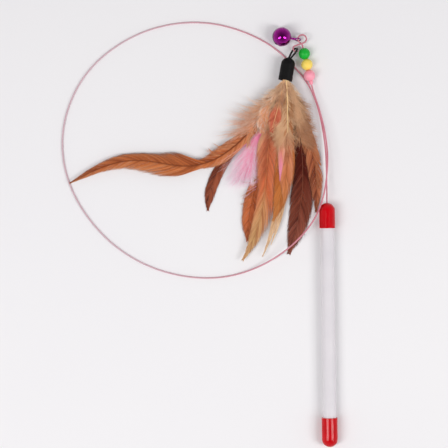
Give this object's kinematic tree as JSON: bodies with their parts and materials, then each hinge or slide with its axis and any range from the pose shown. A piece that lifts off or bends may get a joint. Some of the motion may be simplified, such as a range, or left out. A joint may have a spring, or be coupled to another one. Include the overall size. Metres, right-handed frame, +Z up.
{
  "type": "cat teaser wand",
  "caption": "Cat teaser wand: a plastic handle with rubber end caps, a coiled coated spring wire, beads, a jingle bell and a feather lure hung on a cord loop.",
  "frame": {"origin": "on the handle's axis at the rear cap's rim", "axes": "+Y along the handle to the wire, +X to the right as the toy lies coiled with its wire end away, +Z up from the table"},
  "size_m": [0.1803, 0.2823, 0.0128],
  "materials": {
    "tube_white": "semi-gloss translucent white plastic",
    "cap_red": "glossy dipped vinyl",
    "plug_plastic": "matt moulded",
    "wire_pink": "satin plastic coating over spring wire",
    "bead_pink": "gloss",
    "bead_yellow": "gloss",
    "bead_green": "gloss",
    "bell_purple": "dyed mirror plating",
    "bell_wire": "dyed mirror plating",
    "clapper_steel": "plain",
    "cord_black": "waxed braid",
    "lure_cap_black": "satin",
    "glue_clear": "hot-melt glue",
    "feather_dark": "feather barbs",
    "feather_brown": "feather barbs",
    "feather_rust": "feather barbs",
    "feather_tan": "feather barbs",
    "feather_fluff": "downy barbs",
    "feather_amber": "feather barbs",
    "feather_salmon": "feather barbs",
    "marabou_pink": "dyed down"
  },
  "bodies": {
    "wand": {"handle_tube": "tube_white", "rear_cap": "cap_red", "front_cap": "cap_red", "anchor_plug": "plug_plastic", "wire_anchor_leg": "wire_pink", "coated_wire": "wire_pink", "wire_end_eye": "wire_pink", "bead_stop": "bead_pink"},
    "pink_bead": {"bead_pink": "bead_pink"},
    "yellow_bead": {"bead_yellow": "bead_yellow"},
    "green_bead": {"bead_green": "bead_green"},
    "bell": {"bell_upper_shell": "bell_purple", "bell_lower_shell": "bell_purple", "bell_shank": "bell_wire"},
    "clapper": {"bell_clapper": "clapper_steel"},
    "lure": {"lure_loop": "cord_black", "loop_knot": "cord_black", "lure_cap": "lure_cap_black", "quill_glue": "glue_clear", "dark_feather": "feather_dark", "small_dark_feather": "feather_brown", "brown_feather": "feather_brown", "rust_feather": "feather_rust", "right_plume": "feather_fluff", "long_feather": "feather_brown", "pink_marabou": "marabou_pink", "amber_feather": "feather_amber", "left_plume": "feather_fluff", "split_tan_feather": "feather_tan", "tan_feather": "feather_tan", "rust_patch_feather": "feather_rust", "salmon_feather": "feather_salmon"}
  },
  "joints": [
    {"name": "bead_pink_spin", "type": "hinge", "parent": "wand", "child": "pink_bead", "pos_m": [-0.00965, 0.22245, -0.0014], "axis": [-0.2147, 0.9767, 0], "continuous": true},
    {"name": "bead_yellow_spin", "type": "hinge", "parent": "wand", "child": "yellow_bead", "pos_m": [-0.00965, 0.22245, -0.0014], "axis": [-0.2147, 0.9767, 0], "continuous": true},
    {"name": "bead_green_spin", "type": "hinge", "parent": "wand", "child": "green_bead", "pos_m": [-0.00965, 0.22245, -0.0014], "axis": [-0.2147, 0.9767, 0], "continuous": true},
    {"name": "bell_swing", "type": "hinge", "parent": "wand", "child": "bell", "pos_m": [-0.01494, 0.25022, -0.0014], "axis": [0, 0, 1], "range_deg": [-150, 0]},
    {"name": "clapper_roll", "type": "hinge", "parent": "bell", "child": "clapper", "pos_m": [-0.02841, 0.2515, 0.0013], "axis": [0.9596, -0.1451, -0.2411], "continuous": true},
    {"name": "lure_turn", "type": "hinge", "parent": "wand", "child": "lure", "pos_m": [-0.02011, 0.24234, -0.0009], "axis": [-0.8425, 0.5388, 0], "range_deg": [0, 90]}
  ]
}
